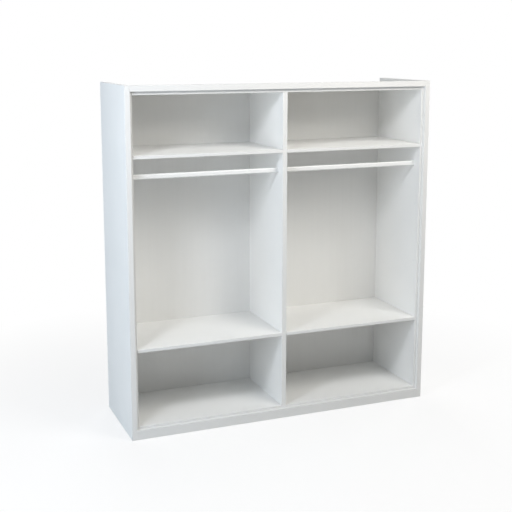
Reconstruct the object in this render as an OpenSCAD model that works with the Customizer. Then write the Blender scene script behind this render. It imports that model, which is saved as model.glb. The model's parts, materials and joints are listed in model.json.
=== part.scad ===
// Wardrobe carcass with two open bays, built from white melamine-faced boards.
// An inner carcass (sides, partition, top, bottom, shelves, backs) stands between
// two deep cheeks. A fascia and a plinth close the front, and the carcass is set
// back behind them by the thickness of a door. Front is -Y, +Z is up, and the
// origin is on the floor under the middle of the wardrobe.

/* [Overall size] */
// Width over both cheeks
width = 2000; // [1500:10:2600]
// Depth from the front of the cheeks to their rear edges
depth = 600; // [450:10:750]
// Height from the floor to the top of the cheeks
height = 2120; // [1750:10:2700]

/* [Boards] */
// Thickness of the two outer cheeks
cheek_t = 32; // [26:1:40]
// Thickness of the carcass side panels
side_t = 16; // [15:1:22]
// Thickness of the centre partition
partition_t = 30; // [25:1:40]
// Thickness of the shelves
shelf_t = 19; // [18:1:25]
// Thickness of the top panel
top_t = 22; // [18:1:25]
// Thickness of the bottom panel
bottom_t = 19; // [18:1:25]
// Thickness of the fascia and the plinth, which sets how far back the carcass stands
front_t = 22; // [18:1:28]
// Thickness of the rear plinth and the base rail
rail_t = 16; // [15:1:22]
// Thickness of the back panels
back_t = 3; // [3:0.5:5]
// Radius of the banded front edges
edge_r = 1.5; // [1:0.1:2.5]

/* [Levels] */
// Height of the plinth board
plinth_h = 58; // [50:1:120]
// How far the bottom panel shows above the plinth
bottom_reveal = 15; // [8:1:18]
// Clear height of the bottom compartments
lower_bay_h = 462; // [250:1:600]
// Clear height of the top compartments
upper_bay_h = 348; // [200:1:450]
// Depth of the recess on top, from the cheeks' top to the top panel
top_drop = 34; // [30:1:60]
// How far the fascia laps down over the front edge of the top panel
fascia_lap = 1; // [0:0.5:15]

/* [Hanging rods] */
// Height of the oval rod
rod_h = 30; // [25:1:35]
// Width of the oval rod
rod_w = 15; // [12:1:20]
// Wall of the rod
rod_wall = 1.2; // [0.8:0.1:2]
// Free space between the rod and the shelf above it
rod_drop = 98; // [60:1:150]
// Distance from the carcass front to the middle of the rod
rod_setback = 72; // [50:1:250]
// Length of the rod that lies in each socket
socket_reach = 11; // [8:1:16]
// Wall of the rod sockets
socket_wall = 2.4; // [2:0.1:4]

/* [Back] */
// Distance from the rear edges to the back panels
back_inset = 20; // [18:1:40]
// Depth of the grooves that hold the back panels
groove_depth = 7; // [5:0.5:8]
// Depth by which the back panels enter their grooves
groove_grip = 6; // [4:0.5:7]

/* [Fittings] */
// Diameter of the cam locks
cam_d = 15; // [12:1:16]
// Distance from a cam lock to the joint that it draws tight
cam_reach = 34; // [30:1:40]
// Diameter of the wooden dowels
dowel_d = 8; // [6:1:8]
// Length of the wooden dowels
dowel_l = 30; // [25:1:35]
// Shank diameter of the partition screws
partition_screw_d = 7; // [5:0.5:7]
// Length of the partition screws
partition_screw_l = 52; // [45:1:70]
// Shank diameter of the cheek screws
cheek_screw_d = 5; // [4:0.5:6]
// Length of the cheek screws
cheek_screw_l = 38; // [34:1:40]
// Diameter of the shelf pins in their holes
pin_d = 5; // [5:0.5:6]
// Diameter of the collar that a loose shelf lies on
pin_collar_d = 10; // [8:1:12]
// Diameter of the floor glides
glide_d = 22; // [18:1:25]
// Height of the floor glides
glide_h = 3; // [2:0.5:6]
// Leg length of the corner brackets
bracket_leg = 28; // [24:1:30]
// Sheet thickness of the corner and wall brackets
bracket_t = 2; // [1.5:0.1:3]
// Distance from the top panel down to the holes for the wall screws
wall_hole_drop = 18; // [14:1:24]
// Diameter of the holes for the wall screws
wall_hole_d = 6; // [5:0.5:7]

/* [Clearances] */
// Gap at each end of a loose shelf
shelf_gap = 0.8; // [0.5:0.1:2]
// Gap under a loose shelf and under a rod
rest_gap = 0.3; // [0.2:0.1:0.5]
// Gap at each end of a rod
rod_end_gap = 0.8; // [0.5:0.1:2]
// Gap between a fitting and its bore, all round
bore_gap = 0.05; // [0.02:0.01:0.1]
// Gap on each side of a back panel in its groove
groove_gap = 0.2; // [0.1:0.05:0.4]

/* [Hidden] */
$fn = 32;

// Depth planes, from front to rear
front_y = -depth / 2;
carcass_y = front_y + front_t;
rear_y = depth / 2;
back_y1 = rear_y - back_inset;
back_y0 = back_y1 - back_t;
shelf_y1 = back_y0 - 1;

// Planes across the width, given for the right half
side_x = width / 2 - cheek_t;
inner_x = side_x - side_t;
partition_x = partition_t / 2;
bay_w = inner_x - partition_x;
bay_mid_x = (inner_x + partition_x) / 2;

// Levels, from the floor up
base_z = glide_h;
plinth_top = base_z + plinth_h;
bottom_z1 = plinth_top + bottom_reveal;
bottom_z0 = bottom_z1 - bottom_t;
lower_z0 = bottom_z1 + lower_bay_h;
lower_z1 = lower_z0 + shelf_t;
top_z1 = height - top_drop;
top_z0 = top_z1 - top_t;
fascia_h = top_drop + fascia_lap;
upper_z1 = top_z0 - upper_bay_h;
upper_z0 = upper_z1 - shelf_t;
rod_y = carcass_y + rod_setback;
rod_z = upper_z0 - rod_drop - rod_h / 2;

// Each cam joint: x of the wall's face, direction from the wall into the board,
// mid-height of the board, and the level of the board's face that takes the cams
side_top = [-inner_x, 1, top_z0 + top_t / 2, top_z1];
side_bottom = [-inner_x, 1, bottom_z0 + bottom_t / 2, bottom_z0];
side_upper = [-inner_x, 1, upper_z0 + shelf_t / 2, upper_z0];
partition_upper = [-partition_x, -1, upper_z0 + shelf_t / 2, upper_z0];
cam_joints = [side_top, side_bottom, side_upper, partition_upper];
fitting_inset = 60;
dowel_step = 32;
cam_ys = [carcass_y + fitting_inset, shelf_y1 - fitting_inset];
dowel_ys = [carcass_y + fitting_inset + dowel_step, shelf_y1 - fitting_inset - dowel_step];

// Cam bolt: thread in the wall, collar against it, neck and head in the cam
bolt_thread_d = 6;
bolt_thread_l = 11;
bolt_collar_d = 7.6;
bolt_collar_l = 2;
bolt_neck_d = 4;
bolt_head_d = 7;
bolt_head_l = 3;
bolt_slack = 0.2;

// Cam lock: wall of the drum, and how deep it reaches past the bolt's axis
cam_wall = 2;
cam_past_bolt = bolt_head_d / 2 + 0.5;
cam_hollow_d = cam_d - 2 * cam_wall;

// The drum's inner wall pulls on the bolt's head, and the neck starts just outside the drum
head_seat = sqrt(pow(cam_hollow_d / 2, 2) - pow(bolt_head_d / 2, 2));
bolt_head_x = cam_reach - head_seat + bolt_slack;
bolt_neck_x = cam_reach - cam_d / 2 - 3;
cam_recess = [9, 1.6, 3];
cover_d = cam_d + 3;
cover_t = 1.5;
hole_end_gap = 0.5;

// Dowels: how deep they sit in a side panel and in a cheek or the partition's end
dowel_in_side = 10;
dowel_in_cheek = 13;
front_board_y = front_y + front_t / 2;
plinth_dowel_inset = 16;
plinth_dowel_zs = [base_z + plinth_dowel_inset, plinth_top - plinth_dowel_inset];
fascia_dowel_inset = 9;
fascia_dowel_zs = [height - fascia_h + fascia_dowel_inset, height - fascia_dowel_inset];
rail_dowel_inset = 14;
rail_dowel_zs = [base_z + rail_dowel_inset, bottom_z0 - rail_dowel_inset];
rear_plinth_y0 = rear_y - back_inset - 2 * rail_t;
rear_plinth_y1 = rear_plinth_y0 + rail_t;

// Screws that hold the partition, the cheeks and the rear plinth
partition_screw_inset = 75;
partition_dowel_inset = 130;
partition_screw_ys = [
    carcass_y + partition_screw_inset,
    (carcass_y + shelf_y1) / 2,
    shelf_y1 - partition_screw_inset
];
partition_dowel_ys = [carcass_y + partition_dowel_inset, shelf_y1 - partition_dowel_inset];
partition_dowel_off = 3;
screw_head_d = 10;
screw_head_h = 3;
cheek_screw_inset = 45;
cheek_screw_ys = [carcass_y + cheek_screw_inset, shelf_y1 - cheek_screw_inset];
hanging_h = upper_z0 - lower_z1;
cheek_screw_zs = [
    (bottom_z1 + lower_z0) / 2,
    lower_z1 + hanging_h / 3,
    lower_z1 + 2 * hanging_h / 3,
    (upper_z1 + top_z0) / 2
];
cap_d = 13;
cap_t = 1.5;
rear_plinth_screw_l = 50;
rear_plinth_y = (rear_plinth_y0 + rear_plinth_y1) / 2;

// Rod sockets: back plate, screws, and how far the cradle reaches up past the oval's straight part
plate_t = 3;
socket_screw_d = 3.5;
socket_screw_head_d = 7;
socket_screw_l = 15;
socket_screw_dzs = [-7, 7];
cradle_rise = 4;

// Shelf pins
pin_depth = 9;
pin_collar_l = 8;
pin_flat = 1.5;
pin_ys = [carcass_y + fitting_inset, shelf_y1 - fitting_inset];
pin_z = lower_z0 - rest_gap - pin_collar_d / 2 + pin_flat;

// Brackets
bracket_w = 20;
bracket_hole_d = 4.4;
bracket_hole_reach = 17;
bracket_screw_d = 3.5;
bracket_screw_l = 13;
bracket_head_d = 7;
bracket_head_h = 2;
fascia_bracket_xs = [0, bay_mid_x + bay_w / 4];
plinth_bracket_xs = [bay_mid_x - bay_w / 4, bay_mid_x + bay_w / 4];
wall_bracket_w = 40;
wall_bracket_run = 50;
wall_bracket_fall = 32;
wall_screw_reach = 33;
sleeve_d = 16;
sleeve_nose_d = 10;

// Wedges behind the back panels
wedge_l = 40;
wedge_size = 14;
wedge_nose = 2;
wedge_inset = 250;
wedge_zs = [bottom_z1 + wedge_inset, (bottom_z1 + top_z0) / 2, top_z0 - wedge_inset];

// Glides
glide_inset = 45;
glide_chamfer = 1;
nail_d = 2;
nail_l = 14;

// Draws its children, and once more mirrored to the other half
module both_halves() {
    children();
    mirror([1, 0, 0]) children();
}

// End view of a board: thickness along X, depth along Y, with its front corners rounded
module board_section(thickness, length) {
    translate([0, edge_r]) square([thickness, length - edge_r]);
    translate([edge_r, 0]) square([thickness - 2 * edge_r, length]);
    for (x = [edge_r, thickness - edge_r])
        translate([x, edge_r]) circle(edge_r);
}

// Upright board from x0 towards +X, with its rounded front edge at y0
module upright_board(x0, thickness, y0, z0, z1) {
    translate([x0, y0, z0])
        linear_extrude(z1 - z0) board_section(thickness, rear_y - y0);
}

// Level board from x0 to x1, with its rounded front edge at y0
module level_board(x0, x1, y0, y1, z0, thickness) {
    translate([x1, y0, z0]) rotate([0, -90, 0])
        linear_extrude(x1 - x0) board_section(thickness, y1 - y0);
}

// Round bar along X from x0 to x1
module bar_x(x0, x1, d, y, z) {
    translate([min(x0, x1), y, z]) rotate([0, 90, 0]) cylinder(h = abs(x1 - x0), d = d);
}

// Countersunk screw along +Z, with the flat of its head at z = 0
module sunk_screw(d, head_d, length, gap = 0) {
    cylinder(h = length + gap, d = d + 2 * gap);
    cylinder(h = screw_head_h, d1 = head_d + 2 * gap, d2 = d + 2 * gap);
}

// ---- Cam fittings and dowels ----

// Runs its children at each cam of a joint: origin on the wall's face at the bolt's axis,
// with +X pointing from the wall into the board
module at_cams(joint) {
    for (y = cam_ys)
        translate([joint[0], y, joint[2]]) face_to(joint[1]) children();
}

// Turns its children to face along -X when the direction is negative
module face_to(direction) {
    if (direction < 0)
        mirror([1, 0, 0]) children();
    else
        children();
}

// Height of a joint's cam lock, from the face that it is pressed into
function cam_line(joint) = abs(joint[2] - joint[3]);
function cam_side(joint) = sign(joint[3] - joint[2]);

// Space that a cam, its bolt and the dowels of one joint take out of wall and board
module joint_bores(joint) {
    at_cams(joint) {
        cam_axis(joint)
            translate([0, 0, -1])
                cylinder(h = 1 + cam_line(joint) + cam_past_bolt + hole_end_gap, d = cam_d);
        bar_x(0, cam_reach, bolt_collar_d + 2 * bolt_slack, 0, 0);
        bar_x(-bolt_thread_l - hole_end_gap, 1, bolt_thread_d + 2 * bore_gap, 0, 0);
    }
    joint_dowels(joint, bore_gap);
}

// Puts its children on the cam's axis, with +Z going into the board from its face
module cam_axis(joint) {
    translate([cam_reach, 0, cam_side(joint) * cam_line(joint)])
        mirror([0, 0, cam_side(joint) > 0 ? 1 : 0]) children();
}

// Dowel, or its longer and wider hole, along +Z from z = 0
module dowel(gap = 0) {
    end_gap = gap > 0 ? hole_end_gap : 0;
    translate([0, 0, -end_gap]) cylinder(h = dowel_l + 2 * end_gap, d = dowel_d + 2 * gap);
}

module joint_dowels(joint, gap = 0) {
    for (y = dowel_ys)
        translate([joint[0], y, joint[2]]) face_to(joint[1])
            translate([-dowel_in_side, 0, 0]) rotate([0, 90, 0]) dowel(gap);
}

// Cam lock, turned tight: a drum that is open at its inner end, with a cross recess in its
// face. The bolt's head came in through the round entry, and its neck now stands at the
// far end of the slot, which points to -X.
module cam_lock(line) {
    slot_start = 155;
    slot_turn = 185;
    entry_turn = 150;
    neck_slot = bolt_neck_d + 2 * bolt_slack;
    difference() {
        cylinder(h = line + cam_past_bolt, d = cam_d - 2 * bore_gap);
        translate([0, 0, line - cam_past_bolt - bolt_slack])
            cylinder(h = 3 * cam_past_bolt, d = cam_hollow_d);
        translate([0, 0, line - neck_slot / 2]) rotate([0, 0, slot_start])
            rotate_extrude(angle = slot_turn)
                translate([cam_hollow_d / 2 - cam_wall, 0]) square([3 * cam_wall, neck_slot]);
        translate([0, 0, line]) rotate([0, -90, entry_turn])
            cylinder(h = cam_d, d = bolt_head_d + 2 * bolt_slack);
        for (turn = [45, 135])
            rotate([0, 0, turn]) cube([cam_recess.x, cam_recess.y, 2 * cam_recess.z], center = true);
    }
}

// Cam bolt along +X: thread in the wall, collar, shank, neck and head
module cam_bolt() {
    bar_x(-bolt_thread_l, bolt_neck_x, bolt_thread_d, 0, 0);
    bar_x(0, bolt_collar_l, bolt_collar_d, 0, 0);
    bar_x(bolt_neck_x - 1, bolt_head_x + 1, bolt_neck_d, 0, 0);
    bar_x(bolt_head_x, bolt_head_x + bolt_head_l, bolt_head_d, 0, 0);
}

// ---- Bores for the other fittings ----

module partition_screw_set(gap = 0) {
    for (y = partition_screw_ys) {
        translate([0, y, top_z1]) mirror([0, 0, 1])
            sunk_screw(partition_screw_d, screw_head_d, partition_screw_l, gap);
        translate([0, y, bottom_z0])
            sunk_screw(partition_screw_d, screw_head_d, partition_screw_l, gap);
    }
}

module partition_dowel_set(gap = 0) {
    for (y = partition_dowel_ys, z = [bottom_z1 + partition_dowel_off, top_z0 - partition_dowel_off])
        translate([0, y, z - dowel_l / 2]) dowel(gap);
}

// Dowels from the left cheek into the ends of the plinth and the fascia
module front_dowel_set(zs, gap = 0) {
    for (z = zs)
        translate([-side_x - dowel_in_cheek, front_board_y, z]) rotate([0, 90, 0]) dowel(gap);
}

// Dowels at both ends of the base rail
module rail_dowel_set(gap = 0) {
    for (y = [carcass_y - dowel_in_side, rear_plinth_y0 + dowel_in_side - dowel_l], z = rail_dowel_zs)
        translate([0, y, z]) rotate([-90, 0, 0]) dowel(gap);
}

// Screws through the left side panel into the left cheek
module cheek_screw_set(gap = 0) {
    for (y = cheek_screw_ys, z = cheek_screw_zs)
        translate([-inner_x, y, z]) rotate([0, -90, 0])
            sunk_screw(cheek_screw_d, screw_head_d, cheek_screw_l, gap);
}

// Screws through the left side panel into the end of the rear plinth
module rear_plinth_screw_set(gap = 0) {
    for (z = rail_dowel_zs)
        translate([-side_x, rear_plinth_y, z]) rotate([0, 90, 0])
            sunk_screw(cheek_screw_d, screw_head_d, rear_plinth_screw_l, gap);
}

// Pins of the left bay's loose shelf
module at_pins() {
    for (y = pin_ys) {
        translate([-inner_x, y, 0]) children();
        translate([-partition_x, y, 0]) mirror([1, 0, 0]) children();
    }
}

module pin_bores() {
    at_pins() bar_x(-pin_depth - hole_end_gap, 1, pin_d + 2 * bore_gap, 0, pin_z);
}

// Both sockets of the left bay: origin on the wall at the rod's axis, +X into the bay
module at_sockets() {
    translate([-inner_x, rod_y, rod_z]) children();
    translate([-partition_x, rod_y, rod_z]) mirror([1, 0, 0]) children();
}

module socket_screw_places() {
    for (dz = socket_screw_dzs)
        translate([plate_t, 0, dz]) rotate([0, -90, 0]) children();
}

module socket_screw_bores() {
    at_sockets() socket_screw_places()
        cylinder(h = socket_screw_l + bore_gap, d = socket_screw_d + 2 * bore_gap);
}

// Runs its children at each bracket that holds the fascia: origin in the corner,
// -Y is the board that it draws in, -Z the board that it stands on
module at_fascia_brackets() {
    translate([fascia_bracket_xs[0], carcass_y, top_z1]) children();
    both_halves() translate([-fascia_bracket_xs[1], carcass_y, top_z1]) children();
}

// The same under the bottom panel, for the plinth
module at_plinth_brackets() {
    both_halves()
        for (x = plinth_bracket_xs)
            translate([-x, carcass_y, bottom_z0]) mirror([0, 0, 1]) children();
}

// Each screw of a corner bracket: origin on the leg's face, with -Z going into the board
module at_bracket_screws() {
    translate([0, bracket_hole_reach, bracket_t]) children();
    translate([0, bracket_t, bracket_hole_reach]) rotate([-90, 0, 0]) children();
}

// Hole in the board for a bracket's screw, whose head seats at z = 0
module pan_screw_bore() {
    translate([0, 0, -bracket_screw_l - bore_gap])
        cylinder(h = bracket_screw_l, d = bracket_screw_d + 2 * bore_gap);
}

// Corner of the left bay's wall bracket, under the top panel against the back panel:
// +Y runs forward under the panel, and +Z runs down the back panel
module at_wall_bracket() {
    translate([-bay_mid_x, back_y0, top_z0]) rotate([180, 0, 0]) children();
}

module at_wall_bracket_screws() {
    for (x = [-wall_bracket_w / 4, wall_bracket_w / 4])
        translate([x, wall_screw_reach, bracket_t]) children();
}

// Axis of a wall screw: origin on the back panel's front face, +Z towards the wall
module at_wall_hole() {
    at_wall_bracket() translate([0, 0, wall_hole_drop]) rotate([90, 0, 0]) children();
}

module glide_places() {
    both_halves()
        for (y = [front_y + glide_inset, rear_y - glide_inset])
            translate([-(side_x + cheek_t / 2), y, 0]) children();
    for (y = [carcass_y + glide_inset, rear_plinth_y0 - glide_inset])
        translate([0, y, 0]) children();
}

module glide_bores() {
    glide_places() cylinder(h = base_z + nail_l + bore_gap, d = nail_d + 2 * bore_gap);
}

// Groove for a back panel, cut over the whole bay and into the boards around it
module back_groove() {
    translate([-inner_x - groove_depth, back_y0 - groove_gap, bottom_z1 - groove_depth])
        cube([bay_w + 2 * groove_depth, back_t + 2 * groove_gap, top_z0 - bottom_z1 + 2 * groove_depth]);
}

// ---- Boards ----

module left_cheek() {
    color("white") difference() {
        upright_board(-width / 2, cheek_t, front_y, base_z, height);
        front_dowel_set(plinth_dowel_zs, bore_gap);
        front_dowel_set(fascia_dowel_zs, bore_gap);
        cheek_screw_set(bore_gap);
        glide_bores();
    }
}

module right_cheek() {
    mirror([1, 0, 0]) left_cheek();
}

module left_side_panel() {
    color("white") difference() {
        upright_board(-side_x, side_t, carcass_y, base_z, top_z1);
        for (joint = [side_top, side_bottom, side_upper])
            joint_bores(joint);
        cheek_screw_set(bore_gap);
        rear_plinth_screw_set(bore_gap);
        pin_bores();
        socket_screw_bores();
        back_groove();
    }
}

module right_side_panel() {
    mirror([1, 0, 0]) left_side_panel();
}

module centre_partition() {
    color("white") difference() {
        upright_board(-partition_x, partition_t, carcass_y, bottom_z1, top_z0);
        partition_screw_set(bore_gap);
        partition_dowel_set(bore_gap);
        both_halves() {
            joint_bores(partition_upper);
            pin_bores();
            socket_screw_bores();
            back_groove();
        }
    }
}

module top_panel() {
    color("white") difference() {
        level_board(-inner_x, inner_x, carcass_y, rear_y, top_z0, top_t);
        partition_screw_set(bore_gap);
        partition_dowel_set(bore_gap);
        both_halves() {
            joint_bores(side_top);
            back_groove();
        }
        at_fascia_brackets() at_bracket_screws() pan_screw_bore();
        both_halves() at_wall_bracket() at_wall_bracket_screws() pan_screw_bore();
    }
}

module bottom_panel() {
    color("white") difference() {
        level_board(-inner_x, inner_x, carcass_y, rear_y, bottom_z0, bottom_t);
        partition_screw_set(bore_gap);
        partition_dowel_set(bore_gap);
        both_halves() {
            joint_bores(side_bottom);
            back_groove();
        }
        at_plinth_brackets() at_bracket_screws() pan_screw_bore();
    }
}

module fascia() {
    color("white") difference() {
        level_board(-side_x, side_x, front_y, carcass_y, height - fascia_h, fascia_h);
        both_halves() front_dowel_set(fascia_dowel_zs, bore_gap);
        at_fascia_brackets() at_bracket_screws() pan_screw_bore();
    }
}

module front_plinth() {
    color("white") difference() {
        level_board(-side_x, side_x, front_y, carcass_y, base_z, plinth_h);
        both_halves() front_dowel_set(plinth_dowel_zs, bore_gap);
        rail_dowel_set(bore_gap);
        at_plinth_brackets() at_bracket_screws() pan_screw_bore();
    }
}

module rear_plinth() {
    color("white") difference() {
        translate([-inner_x, rear_plinth_y0, base_z])
            cube([2 * inner_x, rail_t, bottom_z0 - base_z]);
        both_halves() rear_plinth_screw_set(bore_gap);
        rail_dowel_set(bore_gap);
    }
}

// Rail under the bottom panel that carries the partition's load to the floor
module base_rail() {
    color("white") difference() {
        translate([-rail_t / 2, carcass_y, base_z])
            cube([rail_t, rear_plinth_y0 - carcass_y, bottom_z0 - base_z]);
        rail_dowel_set(bore_gap);
        glide_bores();
    }
}

module left_back_panel() {
    color("gainsboro") difference() {
        translate([-inner_x - groove_grip, back_y0, bottom_z1 - groove_grip])
            cube([bay_w + 2 * groove_grip, back_t, top_z0 - bottom_z1 + 2 * groove_grip]);
        at_wall_hole()
            translate([0, 0, -1]) cylinder(h = back_t + 2, d = sleeve_nose_d + 2 * bore_gap);
    }
}

module right_back_panel() {
    mirror([1, 0, 0]) left_back_panel();
}

module left_upper_shelf() {
    color("white") difference() {
        level_board(-inner_x, -partition_x, carcass_y, shelf_y1, upper_z0, shelf_t);
        joint_bores(side_upper);
        joint_bores(partition_upper);
    }
}

module right_upper_shelf() {
    mirror([1, 0, 0]) left_upper_shelf();
}

module left_lower_shelf() {
    color("white")
        level_board(-inner_x + shelf_gap, -partition_x - shelf_gap, carcass_y, shelf_y1, lower_z0, shelf_t);
}

module right_lower_shelf() {
    mirror([1, 0, 0]) left_lower_shelf();
}

// ---- Hanging rods ----

// Oval outline of the rod, grown by a margin, as high as the rod along Y
module oval(margin) {
    round_d = rod_w + 2 * margin;
    rise = (rod_h - rod_w) / 2;
    translate([-round_d / 2, -rise]) square([round_d, 2 * rise]);
    for (side = [-1, 1])
        translate([0, side * rise]) circle(d = round_d);
}

// Stands a YZ outline up and extrudes it along +X
module along_x(length) {
    rotate([90, 0, 90]) linear_extrude(length) children();
}

module left_hanging_rod() {
    rod_x0 = -inner_x + plate_t + rod_end_gap;
    rod_x1 = -partition_x - plate_t - rod_end_gap;
    color("whitesmoke")
        translate([rod_x0, rod_y, rod_z])
            along_x(rod_x1 - rod_x0)
                difference() {
                    oval(0);
                    oval(-rod_wall);
                }
}

module right_hanging_rod() {
    mirror([1, 0, 0]) left_hanging_rod();
}

// Rod socket on a wall at x = 0: a back plate and a cradle that is open at the top
module rod_socket() {
    outer = rest_gap + socket_wall;
    top = (rod_h - rod_w) / 2 + cradle_rise;
    difference() {
        along_x(plate_t + rod_end_gap + socket_reach)
            intersection() {
                oval(outer);
                translate([-rod_w, -rod_h]) square([2 * rod_w, rod_h + top]);
            }
        translate([plate_t, 0, 0]) along_x(socket_reach + 5) {
            oval(rest_gap);
            translate([-rod_w / 2 - rest_gap, 0]) square([rod_w + 2 * rest_gap, rod_h]);
        }
        socket_screw_places()
            sunk_screw(socket_screw_d, socket_screw_head_d, socket_screw_l, bore_gap);
    }
}

module left_rod_sockets() {
    color("whitesmoke") at_sockets() rod_socket();
}

module right_rod_sockets() {
    mirror([1, 0, 0]) left_rod_sockets();
}

module rod_socket_screws() {
    color("silver") both_halves() at_sockets() socket_screw_places()
        sunk_screw(socket_screw_d, socket_screw_head_d, socket_screw_l);
}

// ---- Fittings ----

// Shelf pin on a wall at x = 0: a peg in the wall and a collar with a flat for the shelf
module shelf_pin() {
    bar_x(-pin_depth, 1, pin_d, 0, pin_z);
    difference() {
        bar_x(0, pin_collar_l, pin_collar_d, 0, pin_z);
        translate([-1, -pin_collar_d, lower_z0 - rest_gap])
            cube([pin_collar_l + 2, 2 * pin_collar_d, pin_collar_d]);
    }
}

module shelf_pins() {
    color("silver") both_halves() at_pins() shelf_pin();
}

module cam_locks() {
    color("silver") both_halves()
        for (joint = cam_joints)
            at_cams(joint) cam_axis(joint) cam_lock(cam_line(joint));
}

module cam_bolts() {
    color("silver") both_halves()
        for (joint = cam_joints)
            at_cams(joint) cam_bolt();
}

// Covers over the cams that show under the upper shelves
module cam_covers() {
    color("white") both_halves()
        for (joint = [side_upper, partition_upper])
            at_cams(joint) cam_axis(joint)
                translate([0, 0, -cover_t]) cylinder(h = cover_t, d1 = cover_d - cover_t, d2 = cover_d);
}

module wooden_dowels() {
    color("burlywood") {
        both_halves() {
            for (joint = cam_joints)
                joint_dowels(joint);
            front_dowel_set(plinth_dowel_zs);
            front_dowel_set(fascia_dowel_zs);
        }
        partition_dowel_set();
        rail_dowel_set();
    }
}

module partition_screws() {
    color("silver") partition_screw_set();
}

module cheek_screws() {
    color("silver") both_halves() cheek_screw_set();
}

module cheek_screw_caps() {
    color("white") both_halves()
        for (y = cheek_screw_ys, z = cheek_screw_zs)
            translate([-inner_x, y, z]) rotate([0, 90, 0])
                cylinder(h = cap_t, d1 = cap_d, d2 = cap_d - cap_t);
}

module rear_plinth_screws() {
    color("silver") both_halves() rear_plinth_screw_set();
}

// Bent sheet with its corner at the origin, one leg along +Y and one along +Z
module angle_sheet(sheet_w, run, rise) {
    translate([-sheet_w / 2, 0, 0]) cube([sheet_w, run, bracket_t]);
    translate([-sheet_w / 2, 0, 0]) cube([sheet_w, bracket_t, rise]);
}

module bracket_hole() {
    translate([0, 0, -2 * bracket_t]) cylinder(h = 3 * bracket_t, d = bracket_hole_d);
}

module corner_bracket() {
    difference() {
        angle_sheet(bracket_w, bracket_leg, bracket_leg);
        at_bracket_screws() bracket_hole();
    }
}

module corner_brackets() {
    color("silver") {
        at_fascia_brackets() corner_bracket();
        at_plinth_brackets() corner_bracket();
    }
}

// Pan-head screw along -Z, with its head seated at z = 0
module pan_screw() {
    translate([0, 0, -bracket_screw_l]) cylinder(h = bracket_screw_l, d = bracket_screw_d);
    cylinder(h = bracket_head_h, d1 = bracket_head_d, d2 = bracket_head_d - 2);
}

module bracket_screws() {
    color("silver") {
        at_fascia_brackets() at_bracket_screws() pan_screw();
        at_plinth_brackets() at_bracket_screws() pan_screw();
    }
}

module wall_brackets() {
    color("silver") both_halves() difference() {
        at_wall_bracket() angle_sheet(wall_bracket_w, wall_bracket_run, wall_bracket_fall);
        at_wall_bracket() at_wall_bracket_screws() bracket_hole();
        at_wall_hole() translate([0, 0, -2 * bracket_t]) cylinder(h = 3 * bracket_t, d = wall_hole_d);
    }
}

module wall_bracket_screws() {
    color("silver") both_halves() at_wall_bracket() at_wall_bracket_screws() pan_screw();
}

// Sleeve that a wall screw passes through: its nose snaps into the back panel, and its
// body fills the space behind it, so that the screw pulls on the wall and not on the panel
module wall_sleeves() {
    color("white") both_halves() at_wall_hole() difference() {
        union() {
            cylinder(h = back_t, d = sleeve_nose_d);
            translate([0, 0, back_t]) cylinder(h = back_inset, d = sleeve_d);
        }
        translate([0, 0, -1]) cylinder(h = back_t + back_inset + 2, d = wall_hole_d);
    }
}

// Wedge in the corner behind a back panel, which presses the panel forward in its groove
module back_panel_wedge() {
    outline = [
        [0, 0],
        [wedge_size, 0],
        [wedge_size, wedge_nose],
        [wedge_nose, wedge_size],
        [0, wedge_size]
    ];
    translate([0, back_y1, -wedge_l / 2]) linear_extrude(wedge_l) polygon(outline);
}

module back_panel_wedges() {
    color("white") both_halves()
        for (z = wedge_zs) {
            translate([-inner_x, 0, z]) back_panel_wedge();
            translate([-partition_x, 0, z]) mirror([1, 0, 0]) back_panel_wedge();
        }
}

// Glide with a nail, under the cheeks and the base rail
module floor_glides() {
    color("dimgray") glide_places() {
        cylinder(h = glide_chamfer, d1 = glide_d - 2 * glide_chamfer, d2 = glide_d);
        translate([0, 0, glide_chamfer]) cylinder(h = base_z - glide_chamfer, d = glide_d);
        cylinder(h = base_z + nail_l, d = nail_d);
    }
}

left_cheek();
right_cheek();
left_side_panel();
right_side_panel();
centre_partition();
top_panel();
bottom_panel();
fascia();
front_plinth();
rear_plinth();
base_rail();
left_back_panel();
right_back_panel();
left_upper_shelf();
right_upper_shelf();
left_lower_shelf();
right_lower_shelf();
left_hanging_rod();
right_hanging_rod();
left_rod_sockets();
right_rod_sockets();
rod_socket_screws();
shelf_pins();
cam_locks();
cam_bolts();
cam_covers();
wooden_dowels();
partition_screws();
cheek_screws();
cheek_screw_caps();
rear_plinth_screws();
corner_brackets();
bracket_screws();
wall_brackets();
wall_bracket_screws();
wall_sleeves();
back_panel_wedges();
floor_glides();
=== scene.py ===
"""The looks of an open wardrobe carcass: two hanging bays with shelves, in white-faced board."""

import json
import math

import bpy
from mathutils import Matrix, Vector


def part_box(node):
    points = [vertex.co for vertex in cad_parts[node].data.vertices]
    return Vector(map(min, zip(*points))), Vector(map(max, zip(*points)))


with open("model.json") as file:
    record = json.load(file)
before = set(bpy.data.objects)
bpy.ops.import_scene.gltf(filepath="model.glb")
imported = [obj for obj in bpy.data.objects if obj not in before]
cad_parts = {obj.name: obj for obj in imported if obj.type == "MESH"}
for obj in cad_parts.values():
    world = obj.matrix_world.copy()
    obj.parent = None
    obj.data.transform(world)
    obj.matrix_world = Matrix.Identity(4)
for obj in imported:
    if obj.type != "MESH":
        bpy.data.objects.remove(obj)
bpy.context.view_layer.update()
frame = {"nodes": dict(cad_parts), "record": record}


MM = 1e-3
MICRON = 1e-6

# ---------------------------------------------------------------- finishes


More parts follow.
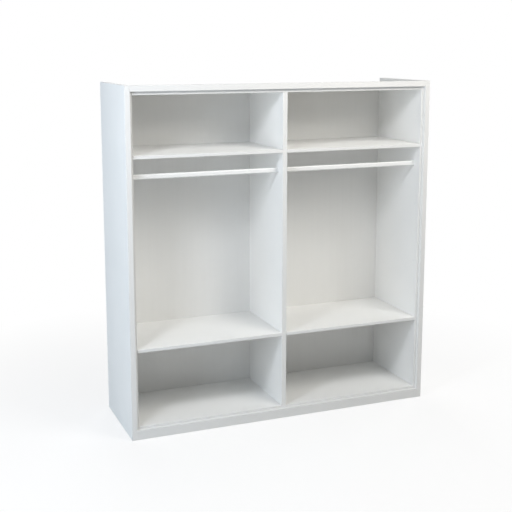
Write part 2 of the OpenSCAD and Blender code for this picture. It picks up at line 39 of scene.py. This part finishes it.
class Finish:
    """One procedural material: a Principled shader and the nodes that feed it."""

    def __init__(self, name, **constants):
        self.material = bpy.data.materials.new(name)
        self.material.use_nodes = True
        self.tree = self.material.node_tree
        self.shader = self.tree.nodes["Principled BSDF"]
        for socket, value in constants.items():
            self.shader.inputs[socket.replace("_", " ")].default_value = value
        self.place = self.add("ShaderNodeTexCoord").outputs["Object"]

    def add(self, kind, inputs=None, **settings):
        node = self.tree.nodes.new(kind)
        for key, value in settings.items():
            setattr(node, key, value)
        for key, value in (inputs or {}).items():
            self.feed(node.inputs[key], value)
        return node

    def feed(self, socket, value):
        """Link another node's output to the socket, or set the socket's own value."""
        if isinstance(value, bpy.types.NodeSocket):
            self.tree.links.new(value, socket)
        else:
            socket.default_value = value

    def math(self, operation, *values):
        return self.add("ShaderNodeMath", dict(enumerate(values)), operation=operation).outputs[0]

    def noise(self, per_metre, detail=2.0, stretch=(1.0, 1.0, 1.0)):
        """Noise over the piece's own coordinates, with so many features per metre."""
        mapped = self.add("ShaderNodeMapping", {"Vector": self.place, "Scale": stretch})
        node = self.add("ShaderNodeTexNoise", {
            "Vector": mapped.outputs[0], "Scale": per_metre, "Detail": detail})
        return node.outputs["Fac"]

    def span(self, value, low, high, start=0.3, stop=0.7):
        """value from start..stop spread over low..high."""
        node = self.add("ShaderNodeMapRange", {
            "Value": value, "From Min": start, "From Max": stop,
            "To Min": low, "To Max": high})
        return node.outputs[0]

    def blend(self, factor, first, second):
        """Two colours mixed, through the Mix node's colour sockets."""
        node = self.add("ShaderNodeMix", {0: factor, 6: first, 7: second}, data_type="RGBA")
        return node.outputs[2]

    def mottle(self, noise, first, second, most=1.0, start=0.3, stop=0.7):
        """The first colour, with up to so much of the second where the noise is strong."""
        return self.blend(self.span(noise, 0.0, most, start, stop), first, second)

    def colour(self, value):
        self.feed(self.shader.inputs["Base Color"], value)

    def roughness(self, value):
        self.feed(self.shader.inputs["Roughness"], value)

    def bump(self, height, depth, before=None):
        """A relief of the given depth in metres, on top of an earlier one."""
        node = self.add("ShaderNodeBump", {"Height": height, "Distance": depth})
        if before is not None:
            self.feed(node.inputs["Normal"], before)
        self.feed(self.shader.inputs["Normal"], node.outputs[0])
        return node.outputs[0]


def rgb(*values):
    return (*values, 1.0)


PURE_WHITE = rgb(1.0, 1.0, 1.0)

# The light and dark clouds and the specks of a board's faces, and of the trim. The trim's tones are
# a shade darker than the faces': painted shade that holds down the lamps' light on the front-facing
# trim.
FACE_TONES = rgb(0.915, 0.914, 0.900), rgb(0.892, 0.892, 0.880), rgb(0.835, 0.836, 0.824)
TRIM_TONES_PAINTED_SHADE = rgb(0.820, 0.820, 0.812), rgb(0.800, 0.800, 0.793), rgb(0.755, 0.755, 0.747)

BAND_THICKNESS = 1.0 * MM      # plastic edge band on the front edge of a board
# The band is real; its tone, the trim's darker one, is painted shade on the boards' front edges.
BAND_TONE_PAINTED_SHADE = TRIM_TONES_PAINTED_SHADE[0]
BAND_ROUGHNESS = 0.30
SEAM_WIDTH = 0.18 * MM         # the glue line behind the band
SEAM_TONE = rgb(0.560, 0.550, 0.520)


def melamine(name, tones, front=None):
    """White resin-faced board with a pearl texture. front is the y of a banded front edge."""
    light, dark, speckle = tones
    finish = Finish(name, Specular_IOR_Level=0.35)
    cloud = finish.noise(2.3, detail=3.0)
    speck = finish.noise(420.0)
    tone = finish.mottle(cloud, light, dark, start=0.35, stop=0.65)
    tone = finish.mottle(speck, tone, speckle, most=0.22, start=0.45, stop=0.75)
    roughness = finish.math("ADD", finish.span(cloud, 0.56, 0.64),
                            finish.span(finish.noise(190.0), -0.03, 0.03))
    if front is not None:
        y = finish.add("ShaderNodeSeparateXYZ", {0: finish.place}).outputs[1]
        behind = finish.math("SUBTRACT", y, front + BAND_THICKNESS)
        band = finish.math("LESS_THAN", behind, 0.0)
        seam = finish.math("COMPARE", behind, 0.0, SEAM_WIDTH / 2)
        # the band's darker tone is painted shade on the front edge
        tone = finish.blend(band, tone, BAND_TONE_PAINTED_SHADE)
        tone = finish.blend(seam, tone, SEAM_TONE)
        roughness = finish.span(band, roughness, BAND_ROUGHNESS, start=0.0, stop=1.0)
    finish.colour(tone)
    finish.roughness(roughness)
    pearl = finish.bump(finish.noise(900.0), 40 * MICRON)
    finish.bump(finish.noise(46.0), 100 * MICRON, pearl)
    return finish.material


def lacquered_hardboard(name):
    """Thin back panel: matt white lacquer, with faint rolling marks down its length."""
    finish = Finish(name)
    cloud = finish.noise(1.7, detail=3.0)
    roll = finish.noise(60.0, stretch=(1.0, 1.0, 0.03))
    tone = finish.mottle(cloud, rgb(0.895, 0.892, 0.875), rgb(0.868, 0.866, 0.851),
                         start=0.35, stop=0.65)
    tone = finish.mottle(roll, tone, rgb(0.818, 0.815, 0.799), most=0.15, start=0.4)
    finish.colour(tone)
    finish.roughness(finish.span(cloud, 0.52, 0.62))
    marks = finish.bump(roll, 50 * MICRON)
    finish.bump(finish.noise(700.0, detail=3.0), 40 * MICRON, marks)
    return finish.material


def powder_coat(name):
    """White powder coat on the oval tube, with its orange-peel surface."""
    finish = Finish(name)
    peel = finish.noise(240.0, detail=1.0)
    finish.colour(finish.mottle(finish.noise(9.0, detail=3.0),
                                rgb(0.885, 0.885, 0.878), rgb(0.862, 0.864, 0.858)))
    finish.roughness(finish.span(peel, 0.24, 0.32))
    finish.bump(peel, 120 * MICRON)
    return finish.material


def moulded(name, light, dark, roughness):
    """Injection-moulded plastic with a spark-eroded grain."""
    finish = Finish(name)
    spark = finish.noise(650.0)
    finish.colour(finish.mottle(finish.noise(35.0), light, dark))
    finish.roughness(finish.span(spark, roughness - 0.05, roughness + 0.05))
    finish.bump(spark, 50 * MICRON)
    return finish.material


def plated_steel(name):
    """Bright zinc plating: faint cloudy passivation, and drawn lines too fine to count."""
    finish = Finish(name, Metallic=1.0)
    cloud = finish.noise(120.0, detail=3.0)
    lines = finish.noise(900.0, detail=1.0, stretch=(1.0, 0.06, 1.0))
    finish.colour(finish.mottle(cloud, rgb(0.760, 0.765, 0.770), rgb(0.660, 0.668, 0.672)))
    finish.roughness(finish.math("ADD", finish.span(cloud, 0.24, 0.38),
                                 finish.span(lines, -0.03, 0.03)))
    finish.bump(lines, 20 * MICRON)
    return finish.material


def die_cast(name):
    """Zinc die casting: grey, slightly porous, satin."""
    finish = Finish(name, Metallic=1.0)
    pores = finish.noise(1100.0, detail=3.0)
    finish.colour(finish.mottle(finish.noise(80.0),
                                rgb(0.560, 0.565, 0.570), rgb(0.460, 0.465, 0.470)))
    finish.roughness(finish.span(pores, 0.40, 0.54))
    finish.bump(pores, 30 * MICRON)
    return finish.material


def beech_wood(name):
    """Steamed beech: pinkish straw, with short dark rays along the grain."""
    finish = Finish(name)
    growth = finish.noise(90.0, detail=3.0, stretch=(0.12, 1.0, 1.0))
    rays = finish.noise(700.0, stretch=(0.10, 1.0, 1.0))
    tone = finish.mottle(growth, rgb(0.620, 0.420, 0.255), rgb(0.500, 0.315, 0.180))
    tone = finish.mottle(rays, tone, rgb(0.300, 0.170, 0.090), most=0.6, start=0.55, stop=0.75)
    finish.colour(tone)
    finish.roughness(finish.span(rays, 0.55, 0.70))
    finish.bump(rays, 60 * MICRON)
    return finish.material


WHITE_PLASTIC = rgb(0.870, 0.872, 0.865), rgb(0.845, 0.848, 0.842)
BLACK_PLASTIC = rgb(0.060, 0.058, 0.055), rgb(0.045, 0.044, 0.042)
PLAIN_SLOTS = {
    "back_board": lacquered_hardboard("back_board"),
    "white_tube": powder_coat("white_tube"),
    "socket_plastic": moulded("socket_plastic", *WHITE_PLASTIC, roughness=0.34),
    "white_plastic": moulded("white_plastic", *WHITE_PLASTIC, roughness=0.40),
    "zinc_steel": plated_steel("zinc_steel"),
    "cast_zinc": die_cast("cast_zinc"),
    "beech": beech_wood("beech"),
    "glide_plastic": moulded("glide_plastic", *BLACK_PLASTIC, roughness=0.50),
}

# Boards of the white_board slot: those with a banded front edge, and the trim.
BANDED_NODES = ("left_cheek", "right_cheek", "left_side_panel", "right_side_panel",
                "centre_partition", "top_panel", "bottom_panel",
                "left_upper_shelf", "right_upper_shelf", "left_lower_shelf", "right_lower_shelf")
TRIM_NODES = ("fascia", "front_plinth", "rear_plinth")

slot_of = {part["node"]: part["material_slot"] for part in frame["record"]["subparts"]}

for node_name, piece in frame["nodes"].items():
    slot_name = slot_of[node_name]
    if slot_name == "white_board":
        # the trim gets the darker tones: painted shade on its front faces
        tones = TRIM_TONES_PAINTED_SHADE if node_name in TRIM_NODES else FACE_TONES
        front_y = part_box(node_name)[0].y if node_name in BANDED_NODES else None
        material = melamine("white_board_" + node_name, tones, front_y)
    else:
        material = PLAIN_SLOTS[slot_name]
    for index in range(len(piece.data.materials)):
        piece.data.materials[index] = material

# ---------------------------------------------------------------- floor and world

FLOOR_RADIUS = 14.0
FLOOR_LIGHT, FLOOR_DARK = rgb(0.72, 0.72, 0.72), rgb(0.70, 0.70, 0.70)
FADE_START, FADE_END = 1.1, 2.8      # the seen floor fades into the white world between these radii
SHADOW_SHARE = 0.45                  # how much of its real light and shade the seen floor keeps
LIT_FLOOR = 0.69                     # brightness of the open floor under the lamps
AMBIENT = 0.05                       # strength of the world as the object is lit by it


def seen_directly(tree):
    """1 for camera, glossy and transmission rays, 0 for the rays that light the object."""
    path = tree.nodes.new("ShaderNodeLightPath")
    total = path.outputs["Is Camera Ray"]
    for ray in ("Is Glossy Ray", "Is Transmission Ray"):
        node = tree.nodes.new("ShaderNodeMath")
        node.operation = "MAXIMUM"
        tree.links.new(total, node.inputs[0])
        tree.links.new(path.outputs[ray], node.inputs[1])
        total = node.outputs[0]
    return total


def make_floor():
    """Pale paper that keeps a soft shadow near the object and is seen as white further out."""
    bpy.ops.mesh.primitive_circle_add(vertices=96, radius=FLOOR_RADIUS, fill_type="NGON")
    floor = bpy.context.object
    floor.name = "floor"
    finish = Finish("floor_paper", Roughness=0.9)
    finish.colour(finish.blend(finish.noise(1.2, detail=3.0), FLOOR_LIGHT, FLOOR_DARK))
    finish.bump(finish.noise(500.0), 30 * MICRON)
    paper = finish.shader.outputs[0]

    distance = finish.add("ShaderNodeVectorMath", {0: finish.place}, operation="LENGTH")
    share = finish.span(distance.outputs["Value"], SHADOW_SHARE, 0.0, FADE_START, FADE_END)
    fill = finish.math("MULTIPLY_ADD", share, -LIT_FLOOR, 1.0)
    black = finish.add("ShaderNodeEmission", {"Strength": 0.0}).outputs[0]
    white = finish.add("ShaderNodeEmission", {"Color": PURE_WHITE, "Strength": fill}).outputs[0]
    shaded = finish.add("ShaderNodeMixShader", {0: share, 1: black, 2: paper}).outputs[0]
    seen = finish.add("ShaderNodeAddShader", {0: shaded, 1: white}).outputs[0]
    mixed = finish.add("ShaderNodeMixShader", {0: seen_directly(finish.tree), 1: paper, 2: seen})
    finish.feed(finish.tree.nodes["Material Output"].inputs["Surface"], mixed.outputs[0])
    floor.data.materials.append(finish.material)


def make_world():
    """A white world: dim as a light, and at full strength where it is seen or reflected."""
    world = bpy.data.worlds.new("studio")
    bpy.context.scene.world = world
    world.use_nodes = True
    tree = world.node_tree
    mixed = tree.nodes.new("ShaderNodeMixShader")
    tree.links.new(seen_directly(tree), mixed.inputs[0])
    backdrop = tree.nodes.new("ShaderNodeBackground")
    for socket, node, strength in ((1, tree.nodes["Background"], AMBIENT), (2, backdrop, 1.0)):
        node.inputs["Color"].default_value = PURE_WHITE
        node.inputs["Strength"].default_value = strength
        tree.links.new(node.outputs[0], mixed.inputs[socket])
    tree.links.new(mixed.outputs[0], tree.nodes["World Output"].inputs["Surface"])


make_floor()
make_world()

# ---------------------------------------------------------------- lamps

AIM = Vector((0.0, 0.0, 1.1))        # just above the wardrobe's middle
FILL_DISTANCE, FILL_SIDE = 4.5, 2.2  # of the big soft boxes


def make_lamp(name, azimuth, elevation, watts, colour, distance=FILL_DISTANCE, side=FILL_SIDE):
    """A square soft box that looks at AIM. Azimuth 0 is in front, 90 degrees at the right."""
    around, up = math.radians(azimuth), math.radians(elevation)
    level = math.cos(up)
    away = Vector((math.sin(around) * level, -math.cos(around) * level, math.sin(up)))
    data = bpy.data.lights.new(name, "AREA")
    data.shape = "SQUARE"
    data.size = side
    data.energy = watts
    data.color = colour
    lamp = bpy.data.objects.new(name, data)
    bpy.context.scene.collection.objects.link(lamp)
    lamp.location = AIM + distance * away
    lamp.rotation_euler = away.to_track_quat("Z", "Y").to_euler()


# The key stands where the photo's shadow edges put it. left, side, front and top fill the
# picture's view, and right and behind light the sides that it doesn't show.
make_lamp("key", -51.6, 33.2, 36.5, (0.90, 0.94, 1.00), distance=3.66, side=0.5)
make_lamp("left", -65.0, 8.0, 63.0, (0.80, 0.90, 1.00))
make_lamp("side", -95.0, 8.0, 16.0, (0.65, 0.84, 1.00))
make_lamp("front", 30.0, 40.0, 98.0, (1.00, 0.99, 0.95))
make_lamp("top", 14.0, 47.5, 6.5, (1.00, 0.92, 0.82), distance=2.44, side=0.8)
make_lamp("right", 100.0, 8.0, 50.0, (1.00, 1.00, 1.00))
make_lamp("behind", 172.0, 12.0, 80.0, (1.00, 1.00, 1.00))

# ---------------------------------------------------------------- camera

CAMERA_PLACE = (-2.344, -5.622, 2.345)
CAMERA_YAW, CAMERA_PITCH = 21.94, 10.05      # degrees to the right and down
LENS, SHIFT_Y = 67.48, -0.08

camera = bpy.data.objects.new("camera", bpy.data.cameras.new("camera"))
bpy.context.scene.collection.objects.link(camera)
camera.location = CAMERA_PLACE
camera.rotation_euler = (math.radians(90.0 - CAMERA_PITCH), 0.0, math.radians(-CAMERA_YAW))
camera.data.lens = LENS
camera.data.shift_y = SHIFT_Y
bpy.context.scene.camera = camera

bpy.context.scene.view_settings.view_transform = "Standard"
